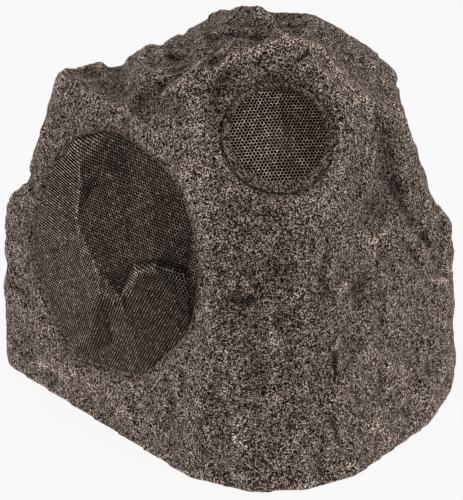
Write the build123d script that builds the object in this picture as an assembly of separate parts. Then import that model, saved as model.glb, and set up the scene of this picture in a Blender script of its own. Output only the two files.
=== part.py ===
"""Two-way garden loudspeaker in a hollow moulded stone, closed below by a screwed base plate."""
from build123d import *
import os
from math import ceil, cos, radians, sin, tan
from typing import NamedTuple


class Facet(NamedTuple):
    """A flat of the stone: where it faces (0 front, 90 right), how it leans back, its reach at a level."""
    azimuth: float
    lean: float
    reach: float
    level: float


class Fold(NamedTuple):
    """A flat of a pressed grille: a point on it, and its rise per millimetre to the right and upwards."""
    right: float
    up: float
    height: float
    rise_right: float
    rise_up: float


# Stone: the flats that carry the drivers and the cable
woofer_face = Facet(-48, 7, 131, 0)
tweeter_face = Facet(8, 36, 150, 182)
rear_face = Facet(180, 6, 195, 0)

# Stone: the flats that stand on the ground, from the nose round by the right
skirt = [
    Facet(3, 13, 184, 0),
    Facet(27, 12, 188, 0),
    Facet(50, 14, 181, 0),
    Facet(66, 3, 188, 0),
    Facet(80, 4, 197, 0),
    Facet(100, 4, 205, 0),
    Facet(125, 4, 206, 0),
    Facet(150, 5, 200, 0),
    rear_face,
    Facet(-150, 5, 200, 0),
    Facet(-130, 4, 206, 0),
    Facet(-108, 2, 216, 0),
    Facet(-84, 1, 202, 0),
    Facet(-68, 3, 179, 0),
    woofer_face,
    Facet(-24, 7, 162, 0),
]
toe_face = Facet(-48, 40, 134.5, 0)
toe_height = 30.0

# Stone: the upper slopes at the back and on the right
rear_slopes = [
    Facet(118, 14, 196, 60),
    Facet(150, 18, 190, 60),
    Facet(180, 22, 182, 60),
    Facet(-150, 18, 192, 60),
    Facet(-118, 14, 208, 60),
    Facet(140, 45, 138, 270),
    Facet(180, 45, 110, 270),
    Facet(-140, 45, 142, 262),
]
right_flank = [
    Facet(58, 20, 143, 200),
    Facet(86, 19, 150, 222),
    Facet(70, 46, 98, 300),
]

# Stone: the flats of each block that the stone is heaped up from
core_flats = [
    tweeter_face,
    Facet(-40, 34, 104, 262),
    Facet(-84, 19, 178, 158),
    Facet(-92, 50, 5, 336),
    Facet(-5, 80, 37, 320),
    Facet(75, 60, 68, 328),
    Facet(180, 62, 40, 332),
]
shoulder_flats = [
    tweeter_face,
    Facet(-40, 34, 106, 258),
    Facet(-84, 19, 184, 158),
    Facet(95, 84, -150, 284),
    Facet(170, 62, 44, 280),
    Facet(60, 15, -30, 250),
]
step_flats = [
    tweeter_face,
    Facet(-32, 34, 86, 275),
    Facet(-85, 30, 76, 302),
    Facet(-40, 80, 60, 306),
    Facet(180, 58, 30, 304),
    Facet(80, 15, 20, 250),
]
crest_flats = [
    tweeter_face,
    Facet(-40, 34, 104, 262),
    Facet(-12, 60, 0, 333),
    Facet(100, 25, 33, 338),
    Facet(180, 62, 34, 338),
    Facet(-92, 50, 5, 337),
]
brow_flats = [
    Facet(8, 27, 75, 285),
    Facet(-58, 44, 58, 306),
    Facet(-56, 65, 39, 320),
    Facet(-40, 77, 22, 330),
    Facet(58, 77, 72, 331),
    Facet(74, 41, 85, 321),
    Facet(69, 24, 99, 302),
    Facet(180, 62, -10, 336),
    Facet(-90, 15, 36, 300),
]
spur_flats = [
    Facet(-15, 7, 13, 243),
    Facet(62, 20, 150, 200),
    Facet(86, 19, 155, 222),
    Facet(72, 50, 97, 300),
    Facet(-90, 30, -92, 300),
]
left_bulge_flats = [
    Facet(-80, 38, 196, 131),
    Facet(-60, 40, 170, 131),
    Facet(-150, 20, 190, 60),
    Facet(90, -18, -165, 150),
    Facet(20, 5, -5, 100),
]
right_bulge_flats = [
    Facet(82, 36, 200, 132),
    Facet(58, 42, 186, 120),
    Facet(128, 14, 198, 60),
    Facet(180, 20, 60, 60),
    Facet(-90, -20, -160, 150),
    Facet(-30, 10, -30, 100),
]
stone_block = 900
stone_wall = 5.0

# Base plate in the rim, with its seal under the flange
plate_thickness = 4.0
plate_clearance = 0.5
seal_thickness = 1.5
seal_width = 14.0
flange_thickness = 9.0
flange_width = 16.0

# Woofer seat on its flat: place along the flat, and depths below it
woofer_across = -28.6
woofer_up = 153.5
woofer_rebate = 3.2
woofer_pocket = 26.0
woofer_ledge = 6.0
tub_wall = 5.0
baffle_thickness = 10.0
grille_clearance = 0.4

# Woofer grille: outline from the driver's axis, and the flats of its pressed sheet
woofer_outline = [
    (-112, -19),
    (-88, -66),
    (-37, -108),
    (52, -92),
    (105, -32),
    (111, 16),
    (96, 60),
    (66, 92),
    (-6, 107),
    (-58, 85),
    (-89, 44),
]
woofer_outline_round = 14.0
grille_sheet = 1.2
grille_rim = 5.0
grille_edge_lean = 45.0
grille_rise = 40.0
hole_land = 1.4
long_flat = Fold(-24, 64, 15, 0.20, 0.03)
woofer_folds = [
    [long_flat, Fold(-24, 64, 15, -0.133, 0.044), Fold(-24, 64, 15, -0.10, -0.14)],
    [long_flat, Fold(12, -25, 19.5, -0.26, -0.44), Fold(0, -69, 15.8, -0.28, 0.05)],
    [Fold(68, -24, 6, -0.08, 0.06), Fold(39, 0, 9.8, 0.12, -0.70), Fold(34, -39, 7.8, 0.60, 0.25)],
]
woofer_hole_pitch = 20.0
woofer_hole_radius = 5.4

# Woofer driver, measured from the back of its mounting flange
flange_land = 12.5
flange_height = 4.0
surround_land = 5.5
surround_seat_height = 2.0
basket_mouth_radius = 70.0
basket_foot_radius = 46.0
basket_depth = 48.0
basket_steel = 2.0
basket_hole_radius = 24.0
basket_windows = 6
window_share = 0.55
cutout_clearance = 1.5
driver_gasket = 1.5
cone_edge_radius = 62.0
cone_neck_radius = 20.2
cone_neck_depth = 23.0
cone_paper = 1.2
cone_lip = 1.8
roll_height = 7.0
roll_rubber = 0.9
roll_shoulder_share = 0.28
surround_lip = 3.0
cap_radius = 27.0
cap_height = 7.0
crown_reach = 0.55
crown_rise = 0.8
former_wall = 0.6
glue_gap = 0.1
coil_gap = 0.8
coil_overhang = 2.0
spider_depth = 28.0
spider_cloth = 0.8
top_plate_thickness = 6.0
magnet_overhang = 4.0
magnet_hole_radius = 27.0
magnet_thickness = 16.0
yoke_thickness = 6.0
pole_vent_radius = 6.0
terminal_width = 14.0
terminal_strip = 1.6
terminal_reach = 12.0
terminal_margin = 1.0
blade_width = 4.8
blade_thickness = 0.8
blade_length = 7.0
blade_root = 3.0

# Tweeter seat on its flat, its round grille and its driver
tweeter_across = 26.0
tweeter_up = 107.0
tweeter_hollow = 6.0
tweeter_hollow_flare = 50.0
tweeter_rebate = 1.4
tweeter_grille_radius = 43.0
tweeter_ledge = 5.0
tweeter_pocket = 13.0
tweeter_tub_wall = 7.0
tweeter_baffle = 9.0
tweeter_folds = [Fold(4, 0, 4.5, 0.10, -0.02), Fold(4, 0, 4.5, -0.13, -0.02)]
tweeter_mound_height = 12.0
tweeter_sheet = 1.0
tweeter_rim = 4.5
tweeter_hole_pitch = 13.0
tweeter_hole_radius = 3.6
faceplate_radius = 36.0
faceplate_thickness = 4.0
faceplate_bevel = 6.0
horn_width = 4.0
dome_radius = 12.7
dome_height = 5.5
dome_cloth = 0.6
dome_rim = 3.5
dome_ledge = 1.0
motor_radius = 25.0
motor_depth = 22.0

# Crossover board on the base plate
board_middle = (38.0, 42.0)
board_length = 112.0
board_width = 78.0
board_thickness = 1.6
board_post_height = 8.0
board_post_width = 8.0
board_post_inset = 6.0
coil_radius = 21.0
coil_hole_radius = 9.0
coil_height = 18.0
capacitor_radius = 8.0
capacitor_length = 30.0
resistor_size = (24.0, 9.0, 9.0)
block_size = (34.0, 10.0, 12.0)
component_gap = 3.0
board_margin = 2.5
glue_bead = 0.4
lead_radius = 2.2
lead_pitch = 10.0
lead_straight = 30.0
lead_rise = 35.0
lead_bend_share = 0.45

# Cable grommet low on the back
cable_up = 26.0
cable_radius = 3.5
grommet_radius = 6.5
grommet_lip_radius = 10.0
grommet_lip = 2.0
grommet_bevel = 1.5
grommet_clearance = 0.1

out_of_face = 60.0


def facet_plane(facet, inset=0.0):
    """The facet's plane, its normal outwards and its x along the ground, moved inwards by inset."""
    turn = radians(facet.azimuth)
    lean = radians(facet.lean)
    outwards = Vector(sin(turn), -cos(turn), 0)
    normal = outwards * cos(lean) + Vector(0, 0, sin(lean))
    point = outwards * facet.reach + Vector(0, 0, facet.level) - normal * inset
    return Plane(origin=point, x_dir=(cos(turn), sin(turn), 0), z_dir=normal)


def fold_plane(fold):
    """The plane of one flat of a pressed sheet."""
    point = (fold.right, fold.up, fold.height)
    return Plane(origin=point, z_dir=(-fold.rise_right, -fold.rise_up, 1))


def faceted(facets, inset=0.0, bottom=0.0, top=stone_block):
    """The convex block that lies behind every facet, between two levels."""
    block = Box(stone_block, stone_block, top - bottom, align=(Align.CENTER, Align.CENTER, Align.MIN))
    block = Pos(0, 0, bottom) * block
    for facet in facets:
        block = split(block, bisect_by=facet_plane(facet, inset), keep=Keep.BOTTOM)
    return block


def seat_frame(facet, across, up):
    """A frame on a facet with its origin at a driver's axis."""
    plane = facet_plane(facet)
    return Plane(origin=plane.from_local_coords((across, up, 0)), x_dir=plane.x_dir, z_dir=plane.z_dir)


def turned(profile):
    """A solid of revolution about Z from (radius, height) points."""
    points = [(radius, 0, height) for radius, height in profile]
    return revolve(make_face(Polyline(*points, close=True)), axis=Axis.Z)


def ring(outer, inner, bottom, top):
    """A plain flat ring."""
    return turned([(inner, bottom), (outer, bottom), (outer, top), (inner, top)])


def rod(radius, bottom, top):
    """A plain upright cylinder."""
    return Pos(0, 0, bottom) * Cylinder(radius, top - bottom, align=(Align.CENTER, Align.CENTER, Align.MIN))


def slab(outline, bottom, top):
    """An outline raised between two heights."""
    return extrude(Pos(0, 0, bottom) * outline, top - bottom)


def hex_holes(outline, pitch, radius, bottom, top):
    """Six-sided holes on a staggered grid, where a whole hole fits in the outline."""
    room = offset(outline, amount=-hole_land * radius)
    box = room.bounding_box()
    row_step = pitch * sin(radians(60))
    rows = ceil(max(abs(box.min.Y), box.max.Y) / row_step)
    columns = ceil(max(abs(box.min.X), box.max.X) / pitch) + 1
    hole = slab(RegularPolygon(radius, 6), bottom, top)
    holes = []
    for row in range(-rows, rows + 1):
        for column in range(-columns, columns + 1):
            place = Vector((column + 0.5 * (row % 2)) * pitch, row * row_step, 0)
            if any(face.is_inside(place) for face in room.faces()):
                holes.append(Pos(place) * hole)
    return holes


def edge_mound(outline, inset):
    """The block under leaning flats that rise from each straight edge of an outline, moved inwards."""
    mound = slab(Rectangle(stone_block, stone_block), 0, grille_rise)
    lean = radians(grille_edge_lean)
    for start, end in zip(outline, outline[1:] + outline[:1]):
        along = (Vector(end) - Vector(start)).normalized()
        outwards = along.cross(Vector(0, 0, 1))
        normal = outwards * cos(lean) + Vector(0, 0, sin(lean))
        edge = Plane(origin=Vector(start) - outwards * inset, z_dir=normal)
        mound = split(mound, bisect_by=edge, keep=Keep.BOTTOM)
    return mound


def pressed_grille(outline, mound, folds, sheet, rim, hole_pitch, hole_radius):
    """A perforated sheet: a flat rim at height 0 round a mound pressed into flats."""
    solid = slab(outline, -grille_rise, 0)
    for group in folds:
        lump = mound
        for fold in group:
            lump = split(lump, bisect_by=fold_plane(fold), keep=Keep.BOTTOM)
        solid += lump
    pressed = solid - Pos(0, 0, -sheet) * solid
    field = offset(outline, amount=-rim)
    return pressed - hex_holes(field, hole_pitch, hole_radius, -grille_rise, grille_rise)


def woofer_opening(margin=0.0):
    """The straight-edged outline of the woofer's opening, moved outwards by margin."""
    face = make_face(Polyline(*woofer_outline, close=True))
    return offset(face, amount=margin, kind=Kind.INTERSECTION) if margin else face


def cable_path(points):
    """A route of straight runs joined by arcs as large as the shorter run allows."""
    radii = []
    for before, corner, after in zip(points, points[1:], points[2:]):
        first = corner - before
        second = after - corner
        half_turn = radians(first.get_angle(second)) / 2
        radii.append(lead_bend_share * min(first.length, second.length) / tan(half_turn))
    return FilletPolyline(*points, radius=radii)


def lying_can(radius, length):
    """A can lying along X at height 0, in the bead of glue that holds it."""
    can = Pos(0, 0, radius + glue_bead) * Rot(0, 90, 0) * Cylinder(radius, length)
    bead = Box(length / 2, radius, radius, align=(Align.CENTER, Align.CENTER, Align.MIN))
    return can + bead


def crown(radius, height, sheet, seat):
    """A domed cap of even sheet that stands on its edge at the seat's height."""
    knee = crown_reach * radius
    knee_top = seat + crown_rise * height
    return turned([
        (0, seat + height),
        (knee, knee_top),
        (radius, seat),
        (radius - sheet, seat),
        (knee - sheet, knee_top - sheet),
        (0, seat + height - sheet),
    ])


def lead_along(points):
    """A twin lead, taken as six-sided, on a cable path."""
    path = cable_path(points)
    section = Plane(origin=path @ 0, z_dir=path % 0) * RegularPolygon(lead_radius, 6)
    return sweep(section, path=path)


nodes = {}
woofer_seat = seat_frame(woofer_face, woofer_across, woofer_up)
tweeter_seat = seat_frame(tweeter_face, tweeter_across, tweeter_up)
woofer_hole = fillet(woofer_opening().vertices(), woofer_outline_round)

# Levels from the ground up, and depths behind the two driver faces
flange_bottom = plate_thickness + seal_thickness
woofer_floor = -woofer_pocket
woofer_flange_back = woofer_floor + driver_gasket
tweeter_sill = -tweeter_hollow - tweeter_rebate
tweeter_floor = tweeter_sill - tweeter_pocket
cutout_radius = basket_mouth_radius + cutout_clearance
motor_hole_radius = motor_radius + cutout_clearance
woofer_at = woofer_seat.location
tweeter_at = tweeter_seat.location
woofer_driver_at = woofer_at * Pos(0, 0, woofer_flange_back)
tweeter_driver_at = tweeter_at * Pos(0, 0, tweeter_floor + driver_gasket)
cable_at = seat_frame(rear_face, 0, cable_up).location

# Stone shell: faceted blocks heaped together, hollowed, with moulded tubs for the drivers
core = skirt + rear_slopes + right_flank + core_flats
shoulder = skirt + rear_slopes + shoulder_flats
step = skirt + rear_slopes + step_flats
crest = skirt + rear_slopes + right_flank + crest_flats
brow = skirt + rear_slopes + right_flank + brow_flats
spur = skirt + rear_slopes + spur_flats
toe = [toe_face if flat is woofer_face else flat for flat in skirt]
stone = faceted(core)
for block in (shoulder, step, crest, brow, spur, skirt + left_bulge_flats, skirt + right_bulge_flats):
    stone += faceted(block)
stone += faceted(toe, top=toe_height)
hollow = faceted(core, stone_wall)
for block in (shoulder, step):
    hollow += faceted(block, stone_wall)

flange_top = flange_bottom + flange_thickness
flange = faceted(skirt, stone_wall / 2, flange_bottom, flange_top)
flange -= faceted(skirt, stone_wall + flange_width, flange_bottom, flange_top)
woofer_tub = slab(woofer_opening(tub_wall), woofer_floor - baffle_thickness, out_of_face)
tweeter_tub_radius = tweeter_grille_radius + tweeter_tub_wall
tweeter_tub = rod(tweeter_tub_radius, tweeter_floor - tweeter_baffle, out_of_face)
shell = stone - hollow - faceted(skirt, stone_wall, 0, flange_bottom) + flange
for lump in (woofer_at * woofer_tub, tweeter_at * tweeter_tub):
    shell += lump & stone

woofer_pit = slab(woofer_hole, -woofer_rebate, out_of_face)
woofer_pit += slab(woofer_opening(-woofer_ledge), woofer_floor, 0)
woofer_pit += rod(cutout_radius, woofer_floor - baffle_thickness, woofer_floor)
flare_height = tweeter_hollow + out_of_face
flare_growth = flare_height * tan(radians(tweeter_hollow_flare))
hollow_edge = tweeter_grille_radius + grille_clearance
tweeter_pit = turned([
    (0, -tweeter_hollow),
    (hollow_edge, -tweeter_hollow),
    (hollow_edge + flare_growth, -tweeter_hollow + flare_height),
    (0, -tweeter_hollow + flare_height),
])
tweeter_pit += rod(hollow_edge, tweeter_sill, 0)
tweeter_pit += rod(tweeter_grille_radius - tweeter_ledge, tweeter_floor, 0)
tweeter_pit += rod(motor_hole_radius, tweeter_floor - tweeter_baffle, tweeter_floor)
shell -= woofer_at * woofer_pit
shell -= tweeter_at * tweeter_pit
shell -= cable_at * rod(grommet_radius, -2 * stone_wall, stone_wall)

# Base: the plate in the rim and a flat seal between it and the flange
plate_inset = stone_wall + plate_clearance
plate = faceted(skirt, plate_inset, 0, plate_thickness)
seal = faceted(skirt, plate_inset, plate_thickness, flange_bottom)
seal -= faceted(skirt, plate_inset + seal_width, plate_thickness, flange_bottom)

# Crossover board: four posts on the plate carry it
board_top = plate_thickness + board_post_height + board_thickness
board_at = Pos(board_middle[0], board_middle[1], 0)
post_span_x = board_length - 2 * board_post_inset
post_span_y = board_width - 2 * board_post_inset
post_places = [board_at * place for place in GridLocations(post_span_x, post_span_y, 2, 2)]
board = slab(Rectangle(board_length, board_width), board_top - board_thickness, board_top)
board = board_at * board
post = Rectangle(board_post_width, board_post_width)
for place in post_places:
    plate += place * slab(post, plate_thickness / 2, board_top - board_thickness)

left_half = -board_length / 4
right_half = board_length / 4
board_edge = board_width / 2 - board_margin
capacitor_row = board_edge - capacitor_radius
resistor_row = capacitor_row - capacitor_radius - component_gap - resistor_size[1] / 2
block_row = block_size[1] / 2 - board_edge
board_face = board_at * Pos(0, 0, board_top)
block_place = board_face * Pos(right_half, block_row, 0)
coil = ring(coil_radius, coil_hole_radius, 0, coil_height)
capacitor = lying_can(capacitor_radius, capacitor_length)
resistor = Box(*resistor_size, align=(Align.CENTER, Align.CENTER, Align.MIN))
block = Box(*block_size, align=(Align.CENTER, Align.CENTER, Align.MIN))
nodes["crossover_board"] = board
nodes["woofer_inductor"] = board_face * Pos(left_half, 0, 0) * coil
nodes["tweeter_capacitor"] = board_face * Pos(right_half, capacitor_row, 0) * capacitor
nodes["padding_resistor"] = board_face * Pos(right_half, resistor_row, 0) * resistor
nodes["terminal_block"] = block_place * block
nodes["base_plate"] = plate
nodes["base_seal"] = seal

# Grilles, each on its ledge in the stone
woofer_grille_outline = offset(woofer_hole, amount=-grille_clearance)
woofer_mound = edge_mound(woofer_outline, grille_rim)
woofer_grille = pressed_grille(
    woofer_grille_outline, woofer_mound, woofer_folds, grille_sheet, grille_rim,
    woofer_hole_pitch, woofer_hole_radius,
)
mound_foot = tweeter_grille_radius - tweeter_rim
mound_top = mound_foot - tweeter_mound_height * tan(radians(grille_edge_lean))
tweeter_mound = turned([
    (0, 0),
    (mound_foot, 0),
    (mound_top, tweeter_mound_height),
    (0, tweeter_mound_height),
])
tweeter_grille = pressed_grille(
    Circle(tweeter_grille_radius), tweeter_mound, [tweeter_folds], tweeter_sheet, tweeter_rim,
    tweeter_hole_pitch, tweeter_hole_radius,
)
nodes["woofer_grille"] = woofer_at * Pos(0, 0, grille_sheet - woofer_rebate) * woofer_grille
nodes["tweeter_grille"] = tweeter_at * Pos(0, 0, tweeter_sill + tweeter_sheet) * tweeter_grille

# Woofer: steel basket with windows, moving cone, and the ring magnet behind
basket_slope = (basket_mouth_radius - basket_foot_radius) / basket_depth
inner_mouth = basket_mouth_radius - basket_steel
flange_radius = basket_mouth_radius + flange_land
surround_seat_radius = basket_mouth_radius + surround_land
inner_foot = basket_foot_radius - basket_steel
basket_floor = basket_steel - basket_depth
basket = turned([
    (basket_mouth_radius, 0),
    (flange_radius, 0),
    (flange_radius, flange_height),
    (surround_seat_radius, flange_height),
    (surround_seat_radius, surround_seat_height),
    (inner_mouth, surround_seat_height),
    (inner_foot, basket_floor),
    (basket_hole_radius, basket_floor),
    (basket_hole_radius, -basket_depth),
    (basket_foot_radius, -basket_depth),
])
window_width = window_share * 2 * basket_foot_radius * sin(radians(180 / basket_windows))
window_height = window_share * basket_depth
window_align = (Align.MIN, Align.CENTER, Align.CENTER)
window = Box(basket_mouth_radius, window_width, window_height, align=window_align)
window_radius = inner_foot - 2 * basket_steel
for place in PolarLocations(window_radius, basket_windows, start_angle=90 - 180 / basket_windows):
    basket -= place * Pos(0, 0, -basket_depth / 2) * window
lug_reach = basket_foot_radius + terminal_reach
lug_middle = -(basket_foot_radius + lug_reach) / 2
lug = Box(terminal_width, terminal_reach + 2 * basket_steel, basket_steel)
basket += Pos(0, lug_middle, basket_steel / 2 - basket_depth) * lug

strip_back = -basket_depth - terminal_strip / 2
strip = Box(terminal_width, terminal_reach - 2 * terminal_margin, terminal_strip)
strip = Pos(0, lug_middle, strip_back) * strip
blade = Box(blade_width, blade_length, blade_thickness, align=(Align.CENTER, Align.MAX, Align.CENTER))
blade_start = terminal_margin + blade_root - lug_reach
woofer_blade_tip = blade_start - blade_length
for side in (-1, 1):
    strip += Pos(side * terminal_width / 4, blade_start, strip_back) * blade

cone = turned([
    (cone_neck_radius, -cone_neck_depth),
    (cone_edge_radius, surround_seat_height),
    (cone_edge_radius - cone_lip, surround_seat_height),
    (cone_neck_radius, cone_paper - cone_neck_depth),
])
lip_bottom = surround_seat_height
lip_top = surround_seat_height + roll_rubber
roll_outer = inner_mouth + basket_steel
roll_inner = cone_edge_radius
roll_shoulder = roll_shoulder_share * (roll_outer - roll_inner)
roll_top = surround_seat_height + roll_height
surround = turned([
    (cone_edge_radius - surround_lip, lip_bottom),
    (roll_inner + roll_rubber, lip_bottom),
    (roll_inner + roll_shoulder + roll_rubber, roll_top - roll_rubber),
    (roll_outer - roll_shoulder - roll_rubber, roll_top - roll_rubber),
    (roll_outer - roll_rubber, lip_bottom),
    (surround_seat_radius - glue_gap, lip_bottom),
    (surround_seat_radius - glue_gap, lip_top),
    (roll_outer, lip_top),
    (roll_outer - roll_shoulder, roll_top),
    (roll_inner + roll_shoulder, roll_top),
    (roll_inner, lip_top),
    (cone_edge_radius - surround_lip, lip_top),
])
cone_run = cone_edge_radius - cone_lip - cone_neck_radius
cone_rise = (surround_seat_height + cone_neck_depth - cone_paper) / cone_run
cap_seat = cone_paper - cone_neck_depth + (cap_radius - cone_neck_radius) * cone_rise + glue_gap
dust_cap = crown(cap_radius, cap_height, cone_paper, cap_seat)
former_radius = cone_neck_radius - glue_gap
plate_back = -basket_depth - top_plate_thickness
former_back = plate_back - coil_overhang
former = ring(former_radius, former_radius - former_wall, former_back, cone_paper - cone_neck_depth)
spider_edge = inner_mouth - (surround_seat_height + spider_depth) * basket_slope - glue_gap
spider = ring(spider_edge, former_radius + glue_gap, -spider_depth, spider_cloth - spider_depth)
top_plate = ring(basket_foot_radius, former_radius + coil_gap, plate_back, -basket_depth)
magnet_back = plate_back - magnet_thickness
magnet = ring(basket_foot_radius + magnet_overhang, magnet_hole_radius, magnet_back, plate_back)
pole_radius = former_radius - former_wall - coil_gap
yoke = turned([
    (pole_vent_radius, magnet_back - yoke_thickness),
    (basket_foot_radius, magnet_back - yoke_thickness),
    (basket_foot_radius, magnet_back),
    (pole_radius, magnet_back),
    (pole_radius, -basket_depth),
    (pole_vent_radius, -basket_depth),
])
gasket = ring(flange_radius, cutout_radius, -driver_gasket, 0)
woofer_parts = {
    "woofer_basket": basket,
    "woofer_terminals": strip,
    "woofer_cone": cone,
    "woofer_surround": surround,
    "woofer_dust_cap": dust_cap,
    "woofer_voice_coil": former,
    "woofer_spider": spider,
    "woofer_top_plate": top_plate,
    "woofer_magnet": magnet,
    "woofer_yoke": yoke,
    "woofer_gasket": gasket,
}
for name, solid in woofer_parts.items():
    nodes[name] = woofer_driver_at * solid

# Tweeter: moulded faceplate, cloth dome and a closed motor behind the baffle
dome_edge = dome_radius + dome_rim
dome_seat = faceplate_thickness / 2
faceplate = turned([
    (dome_edge - dome_ledge, 0),
    (faceplate_radius, 0),
    (faceplate_radius, faceplate_thickness / 2),
    (faceplate_radius - faceplate_bevel, faceplate_thickness),
    (dome_edge + horn_width, faceplate_thickness),
    (dome_edge + glue_gap, dome_seat),
    (dome_edge - dome_ledge, dome_seat),
])
dome = ring(dome_edge, dome_radius - dome_cloth, dome_seat, dome_seat + dome_cloth)
dome += crown(dome_radius, dome_height, dome_cloth, dome_seat)
motor = rod(motor_radius, -motor_depth, 0)
tweeter_gasket = ring(faceplate_radius, motor_hole_radius, -driver_gasket, 0)
motor_blade_tip = -motor_depth - terminal_strip + blade_root - blade_length
tweeter_strip = slab(Rectangle(terminal_width, terminal_reach), -motor_depth - terminal_strip, -motor_depth)
for side in (-1, 1):
    upright = slab(Rectangle(blade_width, blade_thickness), motor_blade_tip, -motor_depth)
    tweeter_strip += Pos(side * terminal_width / 4, 0, 0) * upright
tweeter_parts = {
    "tweeter_faceplate": faceplate,
    "tweeter_dome": dome,
    "tweeter_motor": motor,
    "tweeter_gasket": tweeter_gasket,
    "tweeter_terminals": tweeter_strip,
}
for name, solid in tweeter_parts.items():
    nodes[name] = tweeter_driver_at * solid

# Leads inside the stone, from the terminal block to the blades of the drivers
woofer_tip = woofer_driver_at * Pos(0, woofer_blade_tip, strip_back)
tweeter_tip = tweeter_driver_at * Pos(0, 0, motor_blade_tip)
woofer_turn = woofer_tip * Pos(0, -lead_straight, 0)
tweeter_turn = tweeter_tip * Pos(0, 0, -lead_straight)
block_top = (block_place * Pos(0, 0, block_size[2])).position
woofer_landing = block_top - Vector(lead_pitch / 2, 0, 0)
tweeter_landing = block_top + Vector(lead_pitch / 2, 0, 0)
rise = Vector(0, 0, lead_rise)
nodes["woofer_lead"] = lead_along(
    [woofer_tip.position, woofer_turn.position, woofer_landing + rise, woofer_landing]
)
nodes["tweeter_lead"] = lead_along(
    [tweeter_tip.position, tweeter_turn.position, tweeter_landing + rise, tweeter_landing]
)

# Cable grommet: a soft ring with a lip on each side of the back wall
neck_radius = grommet_radius - grommet_clearance
grommet = turned([
    (cable_radius, -stone_wall - grommet_lip),
    (grommet_lip_radius, -stone_wall - grommet_lip),
    (grommet_lip_radius, -stone_wall),
    (neck_radius, -stone_wall),
    (neck_radius, 0),
    (grommet_lip_radius, 0),
    (grommet_lip_radius - grommet_bevel, grommet_lip),
    (cable_radius, grommet_lip),
])
nodes["cable_grommet"] = cable_at * grommet
nodes["rock_shell"] = shell

os.makedirs("parts", exist_ok=True)
for name, shape in nodes.items():
    export_step(shape, f"parts/{name}.step")
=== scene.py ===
"""Visual model of a two-way garden loudspeaker in a moulded stone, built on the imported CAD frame."""
import bpy
import bmesh
import numpy as np
from math import cos, pi, radians, sin, sqrt
from mathutils import Matrix, Vector
from mathutils.bvhtree import BVHTree
from mathutils.geometry import convex_hull_2d, delaunay_2d_cdt


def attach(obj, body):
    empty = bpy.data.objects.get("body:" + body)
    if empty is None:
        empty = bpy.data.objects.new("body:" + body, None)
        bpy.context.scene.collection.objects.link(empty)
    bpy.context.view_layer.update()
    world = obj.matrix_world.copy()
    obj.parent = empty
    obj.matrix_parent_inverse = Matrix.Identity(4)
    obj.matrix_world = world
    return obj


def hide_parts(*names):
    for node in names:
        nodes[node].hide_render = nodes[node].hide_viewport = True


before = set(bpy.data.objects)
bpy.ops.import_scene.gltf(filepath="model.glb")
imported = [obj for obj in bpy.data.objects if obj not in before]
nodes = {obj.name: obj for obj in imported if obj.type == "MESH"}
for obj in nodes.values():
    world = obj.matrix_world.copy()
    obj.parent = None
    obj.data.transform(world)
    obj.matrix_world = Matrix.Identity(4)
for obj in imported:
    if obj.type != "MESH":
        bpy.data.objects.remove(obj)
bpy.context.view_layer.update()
scene = bpy.context.scene

# Camera of the photograph: a long lens, straight on to the stone's nose and looking down on it.
# The stone's features are placed by named pixels of that view, cast on to the stone itself.
photo_width = 463
photo_height = 500
camera_target = Vector((0.0, -0.062, 0.160))
camera_elevation = radians(25)
camera_distance = 1.415
photo_span = 0.415
sensor = 36.0

camera_data = bpy.data.cameras.new("photo_camera")
camera_data.sensor_width = sensor
camera_data.lens = sensor * camera_distance / photo_span
camera = bpy.data.objects.new("photo_camera", camera_data)
camera_back = Vector((0, -cos(camera_elevation), sin(camera_elevation)))
camera.location = camera_target + camera_back * camera_distance
camera.rotation_euler = (pi / 2 - camera_elevation, 0, 0)
scene.collection.objects.link(camera)
scene.camera = camera


def pixel_ray(across, down):
    """The direction from the camera through a pixel of the photograph."""
    step = photo_span / photo_height
    right = Vector((1, 0, 0)) * (across - photo_width / 2) * step
    up = Vector((0, sin(camera_elevation), cos(camera_elevation))) * (photo_height / 2 - down) * step
    return (camera_target + right + up - camera.location).normalized()


# Stone shell: fibre-filled resin, moulded in one hollow piece with soft worn edges.
# The CAD flats give the form; it is remeshed evenly, eroded, and its openings are cut again.
stone_grid = 0.0025
skin_depth = 0.0025
weld_gap = 1e-6


def new_object(name, mesh):
    """An object in the scene that holds a mesh."""
    made = bpy.data.objects.new(name, mesh)
    scene.collection.objects.link(made)
    return made


def settle(made):
    """Turns an object's modifiers into a plain mesh and removes them."""
    graph = bpy.context.evaluated_depsgraph_get()
    mesh = bpy.data.meshes.new_from_object(made.evaluated_get(graph))
    made.modifiers.clear()
    made.data = mesh


def to_mesh(name, grown):
    """A plain mesh from a bmesh, which is freed."""
    mesh = bpy.data.meshes.new(name)
    grown.to_mesh(mesh)
    grown.free()
    return mesh


def node_corners(node):
    """The corners of a CAD node."""
    return [v.co.copy() for v in nodes[node].data.vertices]


def hull_mesh(name, points):
    """The closed convex hull of some points."""
    grown = bmesh.new()
    for point in points:
        grown.verts.new(point)
    hull = bmesh.ops.convex_hull(grown, input=grown.verts)
    spare = {part for part in hull["geom_interior"] + hull["geom_unused"] if isinstance(part, bmesh.types.BMVert)}
    bmesh.ops.delete(grown, geom=list(spare), context="VERTS")
    bmesh.ops.recalc_face_normals(grown, faces=grown.faces)
    return to_mesh(name, grown)


def cut_away(made, tool_mesh, finish=None):
    """Cuts a closed mesh out of an object; the faces that it leaves take the finish, if there is one."""
    if finish:
        tool_mesh.materials.append(finish)
    tool = new_object("cutter", tool_mesh)
    cut = made.modifiers.new("cut", "BOOLEAN")
    cut.object = tool
    cut.operation = "DIFFERENCE"
    cut.solver = "MANIFOLD"
    cut.material_mode = "TRANSFER"
    settle(made)
    bpy.data.objects.remove(tool)


def welded(node):
    """A bmesh of a CAD node, joined where the corners of its faces meet."""
    grown = bmesh.new()
    grown.from_mesh(nodes[node].data)
    bmesh.ops.remove_doubles(grown, verts=grown.verts, dist=weld_gap)
    return grown


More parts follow.
